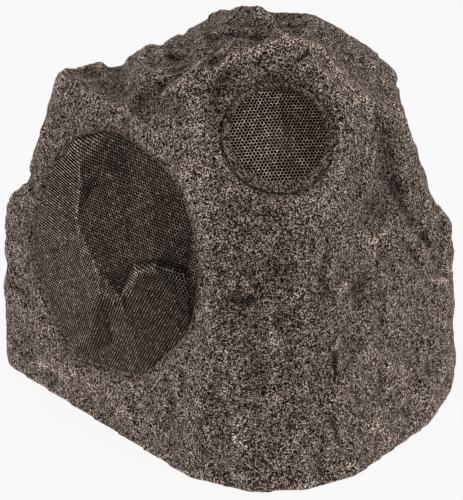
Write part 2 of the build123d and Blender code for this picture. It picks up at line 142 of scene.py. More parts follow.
grown = welded("rock_shell")
walls = to_mesh("stone_walls", grown.copy())
grown.from_mesh(nodes["base_plate"].data)
for closing in ("woofer_grille", "tweeter_grille", "cable_grommet"):
    grown.from_mesh(hull_mesh(closing, node_corners(closing)))
stone = new_object("stone_shell", to_mesh("stone_shell", grown))
remesh = stone.modifiers.new("even_grid", "REMESH")
remesh.mode = "VOXEL"
remesh.voxel_size = stone_grid
settle(stone)

# The hollow is what lies inside the stone's skin and is not one of the CAD walls
hollow = new_object("stone_hollow", stone.data.copy())
sunk = hollow.modifiers.new("sunk", "DISPLACE")
sunk.strength = -skin_depth
sunk.mid_level = 0
settle(hollow)
cut_away(hollow, walls)

stone_surface = BVHTree.FromObject(stone, bpy.context.evaluated_depsgraph_get())
stone_places = np.array([v.co for v in stone.data.vertices])
carving = np.zeros(len(stone_places))
# Painted light and shade: a factor on the stone's paint, paler along ridges and darker in grooves
painted_shading = np.ones(len(stone_places))
painted_light_spread = 1.5


def carve(path, half_width, height, painted_light):
    """Adds a soft ridge or groove along pixels of the photograph, with painted highlight on a ridge's paint and
    painted shade in a groove's.
    """
    hits = [stone_surface.ray_cast(camera.location, pixel_ray(*pixel))[0] for pixel in path]
    hits = [np.array(hit) for hit in hits if hit]
    gap = np.full(len(stone_places), np.inf)
    for start, end in zip(hits, hits[1:] or hits):
        run = end - start
        share = np.clip((stone_places - start) @ run / max(run @ run, 1e-12), 0, 1)
        gap = np.minimum(gap, np.linalg.norm(stone_places - start - share[:, None] * run, axis=1))
    carving[:] += height * np.clip(1 - (gap / half_width) ** 2, 0, 1) ** 2
    painted_shading[:] += painted_light * np.clip(1 - (gap / (painted_light_spread * half_width)) ** 2, 0, 1) ** 2


# Ridges that catch the light: brow, crest, flank, shoulder and the lower skirt.
# Each has its pixels, half its width, its height and how much painted highlight makes its paint paler
ridges = [
    ([(195, 86), (211, 72), (235, 58), (262, 49), (290, 43), (318, 48), (334, 70)], 0.007, 0.0022, 0.14),
    ([(262, 9), (272, 22), (285, 40)], 0.005, 0.0025, 0.30),
    ([(285, 24), (318, 22), (333, 30)], 0.006, 0.0015, 0.10),
    ([(318, 56), (345, 78), (362, 98), (374, 118)], 0.013, 0.0012, 0.25),
    ([(345, 38), (362, 62), (378, 82)], 0.009, 0.0015, 0.12),
    ([(395, 105), (412, 145), (428, 180), (440, 205)], 0.008, 0.0020, 0.18),
    ([(68, 70), (100, 69), (128, 66)], 0.006, 0.0020, 0.15),
    ([(78, 82), (104, 79), (132, 72)], 0.005, 0.0018, 0.15),
    ([(140, 62), (146, 48), (178, 44)], 0.006, 0.0020, 0.15),
    ([(160, 66), (168, 76)], 0.006, 0.0010, 0.30),
    ([(186, 92), (196, 108), (203, 150), (206, 180), (212, 205)], 0.010, 0.0015, 0.28),
    ([(270, 300), (268, 322), (272, 342)], 0.006, 0.0020, 0.18),
    ([(414, 284), (432, 280), (447, 283)], 0.007, 0.0022, 0.14),
    ([(338, 292), (344, 285)], 0.006, 0.0028, 0.40),
    ([(250, 62), (290, 56), (320, 64)], 0.016, 0.0, 0.30),
    ([(338, 250), (352, 240), (372, 244)], 0.012, 0.0016, 0.25),
    ([(325, 60), (345, 85), (365, 115)], 0.022, 0.0, 0.12),
    ([(40, 364), (70, 372), (95, 392), (130, 415)], 0.012, 0.0012, 0.22),
    ([(276, 345), (274, 392), (284, 410)], 0.009, 0.0015, 0.22),
    ([(242, 418), (240, 445)], 0.009, 0.0012, 0.22),
    ([(365, 352), (385, 362), (412, 392), (430, 402)], 0.012, 0.0018, 0.18),
    ([(372, 425), (385, 440)], 0.012, 0.0010, 0.22),
    ([(330, 205), (300, 205), (290, 212)], 0.012, 0.0010, 0.15),
    ([(226, 60), (240, 54), (260, 48), (282, 43), (300, 44), (311, 50)], 0.0035, 0.0012, 0.06),
    ([(384, 92), (385, 120), (379, 140), (372, 167)], 0.0035, 0.0012, 0.35),
    ([(205, 52), (232, 49), (256, 46)], 0.004, 0.0010, 0.10),
    ([(366, 236), (377, 240), (390, 228)], 0.004, 0.0014, 0.35),
]
# Grooves and pits, where painted shade keeps the paint dark
grooves = [
    ([(188, 42), (212, 36), (240, 33), (262, 36)], 0.007, -0.0034, -0.40),
    ([(284, 28), (296, 31)], 0.006, -0.0026, -0.38),
    ([(168, 56), (180, 58)], 0.005, -0.0038, -0.60),
    ([(160, 88), (172, 77), (188, 68)], 0.006, -0.0034, -0.35),
    ([(146, 92), (162, 108), (178, 104)], 0.015, -0.0016, -0.32),
    ([(208, 62), (222, 54)], 0.006, -0.0026, -0.25),
    ([(132, 84), (136, 100), (140, 118)], 0.008, -0.0020, -0.20),
    ([(228, 78), (217, 98), (220, 122)], 0.010, -0.0020, -0.32),
    ([(240, 80), (262, 70), (290, 69), (314, 78)], 0.008, -0.0010, -0.08),
    ([(66, 90), (92, 106), (125, 122)], 0.012, -0.0014, -0.15),
    ([(299, 59), (308, 52)], 0.004, -0.0028, -0.55),
    ([(262, 83), (280, 79), (298, 84)], 0.006, -0.0004, -0.38),
    ([(384, 128), (390, 155), (397, 186)], 0.014, -0.0026, -0.22),
    ([(378, 125), (384, 155), (388, 185), (384, 205)], 0.026, -0.0016, -0.24),
    ([(376, 112), (383, 140)], 0.008, -0.0016, -0.12),
    ([(396, 184), (404, 205), (412, 222)], 0.009, -0.0024, -0.26),
    ([(380, 185), (366, 215)], 0.012, -0.0014, -0.10),
    ([(424, 234), (427, 244)], 0.006, -0.0034, -0.55),
    ([(27, 160), (28, 176), (30, 190)], 0.008, -0.0028, -0.20),
    ([(12, 285), (24, 296)], 0.008, -0.0026, -0.20),
    ([(336, 354), (337, 374)], 0.0035, -0.0034, -0.70),
    ([(331, 360), (333, 390)], 0.009, -0.0012, -0.22),
    ([(333, 418), (337, 440)], 0.004, -0.0026, -0.45),
    ([(236, 300), (248, 301)], 0.009, -0.0026, -0.42),
    ([(272, 262), (290, 268)], 0.014, -0.0018, -0.30),
    ([(318, 296), (328, 300)], 0.010, -0.0012, -0.18),
    ([(356, 288), (364, 280)], 0.010, -0.0026, -0.38),
    ([(362, 300), (352, 330), (360, 345)], 0.012, -0.0020, -0.15),
    ([(258, 372), (262, 390)], 0.012, -0.0012, -0.12),
    ([(296, 408), (306, 424)], 0.012, -0.0012, -0.08),
    ([(196, 438), (208, 446)], 0.010, -0.0014, -0.12),
    ([(165, 380), (172, 402), (168, 425)], 0.006, -0.0016, -0.15),
]
for stroke in ridges + grooves:
    carve(*stroke)

# Painted light and shade by height: the skirt is painted paler, and the crest darker
painted_shade_heights = [0.0, 0.08, 0.16, 0.27, 0.33]
painted_shade_levels = [1.15, 1.08, 0.92, 1.01, 0.81]
painted_shade_range = (0.35, 1.6)
painted_shading *= np.interp(stone_places[:, 2], painted_shade_heights, painted_shade_levels)
# The photograph doesn't show the far side, which gets broken flats of its own.
# Each fade has its start, its run and its least value
far_fade = (0.12, 0.35, 0.0)
facing = np.array([normal.vector for normal in stone.data.vertex_normals]) @ np.array(camera_back)


def faded(gap, start, run, least):
    """A share that rises from its least value to 1 along a run."""
    return np.clip((gap - start) / run, least, 1)


def keep_values(mesh, name, values):
    """Keeps a value for each point of a mesh as a named attribute."""
    layer = mesh.attributes.new(name, "FLOAT", "POINT")
    layer.data.foreach_set("value", values.astype(np.float32))


keep_values(stone.data, "carving", carving)
keep_values(stone.data, "painted_shading", np.clip(painted_shading, *painted_shade_range))
keep_values(stone.data, "far_side", faded(-facing, *far_fade))


def seat_of(ring_node):
    """A driver's frame from its gasket ring: x level, y up the face, z outwards along the axis."""
    corners = np.array(node_corners(ring_node))
    middle = (corners.min(0) + corners.max(0)) / 2
    normal = np.linalg.svd(corners - middle, full_matrices=False)[2][2]
    if normal[:2] @ middle[:2] < 0:
        normal = -normal
    normal = Vector(normal)
    level = Vector((0, 0, 1)).cross(normal).normalized()
    turn = Matrix((level, normal.cross(level), normal)).transposed().to_4x4()
    return Matrix.Translation(middle) @ turn


def outline_of(corners, growth):
    """The convex outline of some corners seen along z, moved outwards."""
    flat = [Vector(point) for point in sorted({(round(c.x, 5), round(c.y, 5)) for c in corners})]
    return [flat[i] * (1 + growth / flat[i].length) for i in convex_hull_2d(flat)]


def seat_outline(grille_node, seat, growth):
    """A grille's outline in its driver's frame, moved outwards, with the height of its ledge."""
    corners = [seat.inverted() @ corner for corner in node_corners(grille_node)]
    return outline_of(corners, growth), min(corner.z for corner in corners)


woofer_seat = seat_of("woofer_gasket")
tweeter_seat = seat_of("tweeter_gasket")
ground_fade = (0.002, 0.012, 0.0)
seat_fade = (0.001, 0.014, 0.15)
collar_fade = (0.018, 0.014, 0.05)
seat_reach = 0.045


def guard_seats(mesh):
    """An attribute that falls away at the grilles' seats, the cable and the ground, where the stone stays true."""
    places = np.array([v.co for v in mesh.vertices])
    guard = faded(places[:, 2], *ground_fade)
    for grille, seat in (("woofer_grille", woofer_seat), ("tweeter_grille", tweeter_seat)):
        outline, ledge = seat_outline(grille, seat, 0.0)
        turned = np.array(seat.inverted())
        local = places @ turned[:3, :3].T + turned[:3, 3]
        edge = np.array([(*a, *b) for a, b in zip(outline, outline[1:] + outline[:1])])
        run = edge[:, 2:] - edge[:, :2]
        share = ((local[:, None, :2] - edge[None, :, :2]) * run).sum(2) / (run ** 2).sum(1)
        nearest = edge[:, :2] + np.clip(share, 0, 1)[:, :, None] * run
        gap = np.sqrt(((local[:, None, :2] - nearest) ** 2).sum(2)).min(1)
        near = np.abs(local[:, 2] - ledge) < seat_reach
        guard = np.where(near, np.minimum(guard, faded(gap, *seat_fade)), guard)
    collar = np.array(node_corners("cable_grommet")).mean(0)
    gap = np.sqrt(((places - collar) ** 2).sum(1))
    keep_values(mesh, "seat_guard", np.minimum(guard, faded(gap, *collar_fade)))


def add_node(tree, kind, links=None, **settings):
    """Adds a node with its settings; links gives each input's value or the socket that feeds it."""
    node = tree.nodes.new(kind)
    for name, value in settings.items():
        setattr(node, name, value)
    for name, value in (links or {}).items():
        if isinstance(value, bpy.types.NodeSocket):
            tree.links.new(value, node.inputs[name])
        else:
            node.inputs[name].default_value = value
    return node


def maths(tree, operation, *inputs):
    """The result of a Math node on numbers or sockets."""
    return add_node(tree, "ShaderNodeMath", dict(enumerate(inputs)), operation=operation).outputs[0]


def vector_maths(tree, operation, *inputs):
    """The result of a Vector Math node: a number for a dot product, and else a vector."""
    node = add_node(tree, "ShaderNodeVectorMath", dict(enumerate(inputs)), operation=operation)
    return node.outputs["Value" if operation == "DOT_PRODUCT" else "Vector"]


def scaled(tree, vector, scale):
    """A vector or colour times a number."""
    return add_node(tree, "ShaderNodeVectorMath", {0: vector, "Scale": scale}, operation="SCALE").outputs[0]


def ranged(tree, value, low, high, to_low, to_high):
    """A value taken from one range to another."""
    links = {"Value": value, "From Min": low, "From Max": high, "To Min": to_low, "To Max": to_high}
    return add_node(tree, "ShaderNodeMapRange", links).outputs["Result"]


def blurred(tree, value, rounds, kind):
    """A value eased into those of the points around it."""
    links = {"Value": value, "Iterations": rounds}
    return add_node(tree, "GeometryNodeBlurAttribute", links, data_type=kind).outputs[0]


def stored(tree, name, kind="FLOAT"):
    """The values of a named attribute."""
    return add_node(tree, "GeometryNodeInputNamedAttribute", {"Name": name}, data_type=kind).outputs[0]


def store(tree, geometry, name, value):
    """A geometry that keeps a value for each point as a named attribute."""
    links = {"Geometry": geometry, "Name": name, "Value": value}
    return add_node(tree, "GeometryNodeStoreNamedAttribute", links, data_type="FLOAT", domain="POINT").outputs[0]


def new_tree(name, inputs):
    """A Geometry Nodes tree with named inputs, with each input's identifier and its socket in the tree."""
    tree = bpy.data.node_groups.new(name, "GeometryNodeTree")
    named = {}
    for label, kind in [("Geometry", "Geometry")] + inputs:
        named[label] = tree.interface.new_socket(label, in_out="INPUT", socket_type="NodeSocket" + kind).identifier
    tree.interface.new_socket("Geometry", in_out="OUTPUT", socket_type="NodeSocketGeometry")
    return tree, named, add_node(tree, "NodeGroupInput").outputs


def end_tree(tree, geometry, finish):
    """Hands out a tree's geometry in its finish."""
    finished = add_node(tree, "GeometryNodeSetMaterial", {"Geometry": geometry, "Material": finish})
    add_node(tree, "NodeGroupOutput", {"Geometry": finished.outputs[0]})


def run_tree(made, tree, named, values):
    """Runs a tree on an object with its inputs set, and keeps the result as a plain mesh."""
    steps = made.modifiers.new(tree.name, "NODES")
    steps.node_group = tree
    for label, value in values.items():
        steps[named[label]] = value
    settle(made)


edge_rounds = 5
swell_size = 0.070
swell_depth = 0.0022
chip_size = 0.028
chip_depth = 0.0022
break_size = 0.085
break_depth = 0.0060
pitting_size = 0.010
pitting_depth = 0.0012
weather_seed = 4.0
wear_limit = 0.0036
chip_smoothness = 0.35
break_smoothness = 0.12
tilt_gain = 4.0
edge_reach = 6
broad_reach = 60


def weathering_tree():
    """Rounds the stone's edges, then swells, chips and pits it, and keeps its relief as attributes."""
    layers = ("Swell", "Chip", "Break", "Pitting")
    sizes = [(layer + part, "Float") for layer in layers for part in (" size", " depth")]
    tree, named, given = new_tree(
        "stone_weathering", sizes + [("Seed", "Float"), ("Rounds", "Int"), ("Paint", "Material")]
    )
    place = add_node(tree, "GeometryNodeInputPosition").outputs[0]
    normal = add_node(tree, "GeometryNodeInputNormal").outputs[0]
    rounded = blurred(tree, place, given["Rounds"], "FLOAT_VECTOR")
    soft = add_node(tree, "GeometryNodeSetPosition", {"Geometry": given["Geometry"], "Position": rounded})
    moves = []
    for layer, detail in (("Swell", 2.0), ("Pitting", 3.0)):
        scale = maths(tree, "DIVIDE", 1.0, given[layer + " size"])
        noise = add_node(
            tree, "ShaderNodeTexNoise",
            {"W": given["Seed"], "Scale": scale, "Detail": detail, "Roughness": 0.55}, noise_dimensions="4D",
        )
        height = maths(tree, "SUBTRACT", noise.outputs[0], 0.5)
        depth = maths(tree, "MULTIPLY", given[layer + " depth"], 2.0)
        moves.append(maths(tree, "MULTIPLY", height, depth))
    for layer, smoothness in (("Chip", chip_smoothness), ("Break", break_smoothness)):
        scale = maths(tree, "DIVIDE", 1.0, given[layer + " size"])
        flats = add_node(
            tree, "ShaderNodeTexVoronoi", {"W": given["Seed"], "Scale": scale, "Smoothness": smoothness},
            voronoi_dimensions="4D", feature="SMOOTH_F1",
        )
        away = vector_maths(tree, "SUBTRACT", place, flats.outputs["Position"])
        tilt = vector_maths(tree, "SUBTRACT", flats.outputs["Color"], (0.5, 0.5, 0.5))
        lean = vector_maths(tree, "DOT_PRODUCT", away, tilt)
        slope = maths(tree, "DIVIDE", given[layer + " depth"], given[layer + " size"])
        slope = maths(tree, "MULTIPLY", slope, tilt_gain)
        moves.append(maths(tree, "MULTIPLY", lean, slope))
    moves[-1] = maths(tree, "MULTIPLY", moves[-1], stored(tree, "far_side"))
    total = moves[0]
    for move in moves[1:] + [stored(tree, "carving")]:
        total = maths(tree, "ADD", total, move)
    total = maths(tree, "MULTIPLY", total, stored(tree, "seat_guard"))
    total = maths(tree, "MAXIMUM", total, -wear_limit)
    worn = add_node(
        tree, "GeometryNodeSetPosition", {"Geometry": soft.outputs[0], "Offset": scaled(tree, normal, total)}
    ).outputs[0]
    for name, reach in (("edge_relief", edge_reach), ("broad_relief", broad_reach)):
        proud = vector_maths(tree, "SUBTRACT", place, blurred(tree, place, reach, "FLOAT_VECTOR"))
        worn = store(tree, worn, name, vector_maths(tree, "DOT_PRODUCT", proud, normal))
    end_tree(tree, worn, given["Paint"])
    return tree, named


def linear(colour):
    """A linear colour from an sRGB hex value."""
    parts = [int(colour[i:i + 2], 16) / 255 for i in (1, 3, 5)]
    return tuple(p / 12.92 if p <= 0.04045 else ((p + 0.055) / 1.055) ** 2.4 for p in parts) + (1.0,)


def new_finish(name):
    """A material with an empty node tree, with that tree and the piece's own coordinates in it."""
    material = bpy.data.materials.new(name)
    material.use_nodes = True
    tree = material.node_tree
    tree.nodes.clear()
    return material, tree, add_node(tree, "ShaderNodeTexCoord").outputs["Object"]


def end_finish(tree, settings):
    """Hands out a finish: one shader with its settings."""
    shader = add_node(tree, "ShaderNodeBsdfPrincipled", settings)
    add_node(tree, "ShaderNodeOutputMaterial", {"Surface": shader.outputs[0]})


def noise_of(tree, place, scale, detail, roughness=0.5, distortion=0.0):
    """Cloudy noise."""
    links = {"Vector": place, "Scale": scale, "Detail": detail, "Roughness": roughness, "Distortion": distortion}
    return add_node(tree, "ShaderNodeTexNoise", links).outputs["Fac"]


def waves_of(tree, place, pitch, way):
    """Even waves along an axis."""
    links = {"Vector": place, "Scale": pi / 10 / pitch}
    return add_node(tree, "ShaderNodeTexWave", links, bands_direction=way).outputs["Fac"]


def blend_of(tree, share, first, second):
    """A mix of two colours given as hex values."""
    links = {"Factor": share, "A": linear(first), "B": linear(second)}
    return add_node(tree, "ShaderNodeMix", links, data_type="RGBA").outputs["Result"]


lump_size = 0.0075
patch_size = 0.030
grain_height = 0.0008
worm_share = 0.4
lump_shading = (130, 110)


def speckled_paint(name, tones, grain, lump_depth, wear_and_shading):
    """Granite-look paint: pale grains and worm-like flecks sprayed over a dark brown coat, rough, without gloss."""
    material, tree, place = new_finish(name)
    grains = noise_of(tree, place, 1 / grain, 2.0, roughness=0.6)
    worms = noise_of(tree, place, worm_share / grain, 1.0, distortion=0.8)
    bent = maths(tree, "ABSOLUTE", maths(tree, "SUBTRACT", worms, 0.5))
    mottle = maths(tree, "ADD", grains, ranged(tree, bent, 0.0, 0.16, 0.12, -0.07))
    ramp = add_node(tree, "ShaderNodeValToRGB", {"Fac": mottle})
    stops = ramp.color_ramp.elements
    while len(stops) < len(tones):
        stops.new(1.0)
    for stop, (share, colour) in zip(stops, tones):
        stop.position = share
        stop.color = linear(colour)
    lumps = noise_of(tree, place, 1 / lump_size, 3.0, roughness=0.6)
    patches = noise_of(tree, place, 1 / patch_size, 2.0)
    # The lumps' tone is painted shade in their low parts and painted highlight on their tops
    darker, lighter = [gain * lump_depth for gain in lump_shading]
    shades = [(lumps, 0.32, 0.68, 1 - darker, 1 + lighter), (patches, 0.30, 0.70, 0.90, 1.10)]
    # Each layer, wear or painted light and shade, scales the paint's tone over its reach
    for layer, *reach in wear_and_shading:
        shades.append((add_node(tree, "ShaderNodeAttribute", attribute_name=layer).outputs["Fac"], *reach))
    shade = ramp.outputs["Color"]
    for value, *reach in shades:
        shade = scaled(tree, shade, ranged(tree, value, *reach))
    lumpy = add_node(tree, "ShaderNodeBump", {"Height": lumps, "Distance": lump_depth})
    bump = add_node(
        tree, "ShaderNodeBump",
        {"Height": mottle, "Strength": 0.6, "Distance": grain_height, "Normal": lumpy.outputs[0]},
    )
    end_finish(tree, {"Base Color": shade, "Roughness": 0.88, "Normal": bump.outputs[0], "Specular IOR Level": 0.08})
    return material


def mottled_finish(name, colour, tint, grain, roughness, metallic=0.0, gloss=0.5):
    """A plain finish with the faint mottling of its making: two close tones over a fine raised grain."""
    material, tree, place = new_finish(name)
    mottle = noise_of(tree, place, 1 / grain, 3.0)
    dull = ranged(tree, mottle, 0.0, 1.0, roughness - 0.08, roughness + 0.08)
    bump = add_node(tree, "ShaderNodeBump", {"Height": mottle, "Strength": 0.25, "Distance": grain * 0.1})
    end_finish(tree, {
        "Base Color": blend_of(tree, mottle, colour, tint), "Roughness": dull, "Metallic": metallic,
        "Specular IOR Level": gloss, "Normal": bump.outputs[0],
    })
    return material


stone_tones = [(0.37, "#080402"), (0.445, "#2a1f19"), (0.52, "#4f4137"), (0.595, "#837065"), (0.685, "#e8d9ce")]
# Paint tone from relief: proud edges paler, partly edge wear and partly painted highlight, and hollows darker as
# painted shade; the broad relief and the carving's factor are painted highlight and painted shade
stone_wear_and_shading = [
    ("edge_relief", -0.0010, 0.0010, 0.66, 1.34),
    ("broad_relief", -0.0050, 0.0050, 0.70, 1.22),
    ("painted_shading", 0.0, 2.0, 0.0, 2.0),
]
stone_paint = speckled_paint("granite_paint_on_resin", stone_tones, 0.0011, 0.0020, stone_wear_and_shading)
# Inside, the moulded resin is left bare in a dark, shineless colour that stands as painted shade, so the openings
# read black
shade_dark_resin = mottled_finish("shade_dark_moulded_resin", "#1b1918", "#262220", 0.004, 0.8, gloss=0.03)

guard_seats(stone.data)
weathering, size_of = weathering_tree()
run_tree(stone, weathering, size_of, {
    "Rounds": edge_rounds, "Swell size": swell_size, "Swell depth": swell_depth,
    "Chip size": chip_size, "Chip depth": chip_depth, "Break size": break_size, "Break depth": break_depth,
    "Pitting size": pitting_size, "Pitting depth": pitting_depth, "Seed": weather_seed, "Paint": stone_paint,
})

seat_clearance = 0.0004
woofer_growth = 0.0030
recess_depth = 0.0055
plate_edge_top = 0.0045
cut_overlap = 0.0003
cut_reach = 0.09
recess_overlap = 0.01
collar_room = 1.03


def prism(name, outline, bottom, top, place):
    """A closed prism on an outline, put in its place."""
    corners = [place @ Vector((*point, height)) for height in (bottom, top) for point in outline]
    return hull_mesh(name, corners)


for grille, seat, growth in (("woofer_grille", woofer_seat, woofer_growth), ("tweeter_grille", tweeter_seat, 0.0)):
    outline, ledge = seat_outline(grille, seat, growth + seat_clearance)
    opening = prism("opening", outline, ledge - cut_overlap, ledge + cut_reach, seat)
    cut_away(stone, opening, stone_paint)
foot = outline_of([corner for corner in node_corners("base_plate") if corner.z < plate_edge_top], seat_clearance)
recess = prism("base_recess", foot, -recess_overlap, recess_depth, Matrix.Identity(4))
cut_away(stone, recess, shade_dark_resin)
collar = node_corners("cable_grommet")
collar_middle = sum(collar, Vector()) / len(collar)
cable_hole = hull_mesh("cable_hole", [collar_middle + (c - collar_middle) * collar_room for c in collar])
cut_away(stone, cable_hole, shade_dark_resin)
cut_away(stone, hollow.data, shade_dark_resin)
bpy.data.objects.remove(hollow)
for face in stone.data.polygons:
    face.use_smooth = True
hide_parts("rock_shell")
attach(stone, "root")

# Woofer: pressed basket with its motor behind, pulp cone on a rubber roll, seated on a soft ring.
# The CAD pieces stay as they are in their own finishes; six pan screws hold the basket's flange.
turn_seed = 3
woofer_screws = 6
woofer_screw_circle = 0.079
woofer_flange_top = 0.00475
pan_radius = 0.0032
pan_height = 0.0020
turned_sides = 20
circle_steps = 48
slot_share = 0.24
slot_depth = 0.0011
slot_overlap = 0.0005


def finish_nodes(names, material):
    """Gives CAD pieces that stay as they are their finish."""
    for name in names:
        nodes[name].data.materials.clear()
        nodes[name].data.materials.append(material)


def woven_cloth(name, colour, tint, thread, roughness):
    """Cloth stiffened with resin: a square weave of two close tones, the darker one painted shade in the low points
    between the threads, matte, with the threads just raised.
    """
    material, tree, place = new_finish(name)
    weave = maths(tree, "MAXIMUM", *[waves_of(tree, place, thread, way) for way in ("X", "Z")])
    bump = add_node(tree, "ShaderNodeBump", {"Height": weave, "Strength": 0.5, "Distance": thread * 0.3})
    end_finish(tree, {
        "Base Color": blend_of(tree, weave, tint, colour), "Roughness": roughness, "Specular IOR Level": 0.15,
        "Normal": bump.outputs[0],
    })
    return material


def lathed(grown, profile, sides):
    """Adds a closed turned body to a bmesh; the profile runs from its axis out and back to it."""
    loops = []
    for radius, height in profile:
        turns = [2 * pi * i / sides for i in range(sides)] if radius > 0 else [0.0]
        loops.append([grown.verts.new((radius * cos(t), radius * sin(t), height)) for t in turns])
    for low, high in zip(loops, loops[1:]):
        for i in range(sides):
            j = (i + 1) % sides
            corners = [low[i % len(low)], low[j % len(low)], high[j % len(high)], high[i % len(high)]]
            grown.faces.new(list(dict.fromkeys(corners)))
    bmesh.ops.recalc_face_normals(grown, faces=grown.faces)


def cross_screw(name, profile, top, arm):
    """A screw head turned from a profile, with a cross recess in its top; top is +1 or -1 along z."""
    grown = bmesh.new()
    lathed(grown, profile, turned_sides)
    made = new_object(name, to_mesh(name, grown))
    face = max(height * top for radius, height in profile) * top
    for across, along in ((arm, arm * slot_share), (arm * slot_share, arm)):
        corners = [
            (x * across, y * along, face + top * z)
            for x in (-1, 1) for y in (-1, 1) for z in (-slot_depth, slot_overlap)
        ]
        cut_away(made, hull_mesh("recess", corners))
    return made


def even_row_tree():
    """Sets a piece evenly along a closed path, each copy turned by chance."""
    tree, named, given = new_tree(
        "even_row", [("Count", "Int"), ("Piece", "Object"), ("Seed", "Int"), ("Finish", "Material")]
    )
    path = add_node(tree, "GeometryNodeMeshToCurve", {"Mesh": given["Geometry"]})
    spots = add_node(tree, "GeometryNodeResampleCurve", {"Curve": path.outputs[0], "Count": given["Count"]})
    piece = add_node(tree, "GeometryNodeObjectInfo", {"Object": given["Piece"]}).outputs["Geometry"]
    chance = add_node(tree, "FunctionNodeRandomValue", {"Max": 2 * pi, "Seed": given["Seed"]}, data_type="FLOAT")
    turn = add_node(tree, "ShaderNodeCombineXYZ", {"Z": chance.outputs["Value"]})
    laid = add_node(
        tree, "GeometryNodeInstanceOnPoints",
        {"Points": spots.outputs[0], "Instance": piece, "Rotation": turn.outputs[0]},
    )
    real = add_node(tree, "GeometryNodeRealizeInstances", {"Geometry": laid.outputs[0]})
    end_tree(tree, real.outputs[0], given["Finish"])
    return tree, named


def set_along(name, path, count, piece, finish):
    """Copies of a piece, evenly along a closed path of points."""
    grown = bmesh.new()
    stops = [grown.verts.new(point) for point in path]
    for i, stop in enumerate(stops):
        grown.edges.new((stops[i - 1], stop))
    made = new_object(name, to_mesh(name, grown))
    run_tree(made, even_row, row_socket, {"Count": count, "Piece": piece, "Seed": turn_seed, "Finish": finish})
    return made


# Enamelled pressings: black and smooth, with hardly any sheen behind the net
enamelled_steel = mottled_finish("black_enamelled_steel", "#0f0f10", "#161617", 0.003, 0.50, gloss=0.04)
# Zinc plating: pale grey metal with a soft, slightly cloudy shine
plated_steel = mottled_finish("zinc_plated_steel", "#b9bcc0", "#9fa2a6", 0.0020, 0.36, 1.0)
# Blackened steel: dark, slightly shiny screws that don't show through the grilles
blackened_steel = mottled_finish("blackened_steel", "#1a1a1b", "#242425", 0.0015, 0.50, 0.4, gloss=0.2)
# Ferrite: dull charcoal ceramic with a fine grain
ferrite = mottled_finish("bare_ferrite", "#3d3d40", "#2b2b2e", 0.0008, 0.78)
# Filled pulp: soft black felted fibres that give nothing back
pulp_cone = mottled_finish("black_pulp_cone", "#0e0e10", "#161618", 0.0018, 0.85, gloss=0.02)
# Rubber roll: deep black and dull
rubber_roll = mottled_finish("moulded_rubber_roll", "#0c0c0c", "#131313", 0.0040, 0.65, gloss=0.03)
# Closed-cell foam rubber: dead black and soft, for every seal
soft_rubber = mottled_finish("closed_cell_rubber", "#151515", "#1f1f1e", 0.0012, 0.92)
# Rolled aluminium: bright thin sheet
aluminium = mottled_finish("rolled_aluminium", "#cacaca", "#b4b4b5", 0.0025, 0.30, 1.0)
# Tinned brass: pale yellow metal for tags and screws under the lead ends
brass = mottled_finish("tinned_brass", "#cfb57b", "#b89a58", 0.0010, 0.32, 1.0)
# Resin-treated cloth: honey-brown open weave
treated_cloth = woven_cloth("resin_treated_cloth", "#b28e55", "#8a6836", 0.0007, 0.85)
finish_nodes(["woofer_basket"], enamelled_steel)
finish_nodes(["woofer_top_plate", "woofer_yoke"], plated_steel)
finish_nodes(["woofer_magnet"], ferrite)
finish_nodes(["woofer_cone", "woofer_dust_cap"], pulp_cone)
finish_nodes(["woofer_surround"], rubber_roll)
finish_nodes(["woofer_voice_coil"], aluminium)
finish_nodes(["woofer_spider"], treated_cloth)
finish_nodes(["woofer_gasket"], soft_rubber)
finish_nodes(["woofer_terminals"], brass)

even_row, row_socket = even_row_tree()
pan_profile = [
    (0, 0), (pan_radius, 0), (pan_radius, pan_height * 0.35), (pan_radius * 0.88, pan_height * 0.75),
    (pan_radius * 0.6, pan_height * 0.95), (0, pan_height),
]
pan_screw = cross_screw("pan_screw", pan_profile, 1, pan_radius * 0.55)


def driver_screws(name, radius, height, count, seat):
    """Pan screws on a circle about a driver's axis, the first one half a step round."""
    turns = [pi / count + 2 * pi * i / circle_steps for i in range(circle_steps)]
    path = [(radius * cos(turn), radius * sin(turn), height) for turn in turns]
    made = set_along(name, path, count, pan_screw, blackened_steel)
    made.data.transform(seat)
    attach(made, "root")


driver_screws("woofer_screws", woofer_screw_circle, woofer_flange_top, woofer_screws, woofer_seat)

# Tweeter: coated cloth dome in a moulded faceplate with its closed motor behind, on a soft ring.
# Four of the same pan screws hold the faceplate.
tweeter_screws = 4
tweeter_screw_circle = 0.0255
tweeter_face_top = 0.00475

# Moulded plastic: black with a fine matte grain
black_plastic = mottled_finish("moulded_black_plastic", "#1e1d1c", "#292726", 0.0015, 0.62)
# Coated cloth: near-black fine weave with a dull coat
coated_cloth = woven_cloth("coated_cloth_dome", "#131314", "#0e0e0f", 0.0004, 0.6)
# Faceplate: the same plastic in a deeper, dead-matte black
matte_plastic = mottled_finish("matte_black_faceplate", "#0e0e0e", "#151514", 0.0015, 0.85, gloss=0.02)
finish_nodes(["tweeter_faceplate"], matte_plastic)
finish_nodes(["tweeter_dome"], coated_cloth)
finish_nodes(["tweeter_motor"], enamelled_steel)
finish_nodes(["tweeter_gasket"], soft_rubber)
finish_nodes(["tweeter_terminals"], brass)
driver_screws("tweeter_screws", tweeter_screw_circle, tweeter_face_top, tweeter_screws, tweeter_seat)
bpy.data.objects.remove(pan_screw)

# Grilles: thin perforated steel, pressed into flats, painted as the stone and dropped on ledges.
# Each hole is a six-sided cell of the sheet, lifted to the flats between the folds of the photograph.
# The real holes are taken as 2.5 mm apart; they are drawn coarser to keep the sheet's triangles few.
hole_pitch = 0.0028
web_share = 0.155
sheet = 0.0006
look_height = 0.05
merge_share = 0.02
fold_rounds = 3
flat_rounds = 12
# The way the painted light comes from: flats that face it are painted paler
painted_light_way = (-1.0, -0.38, 0.0)


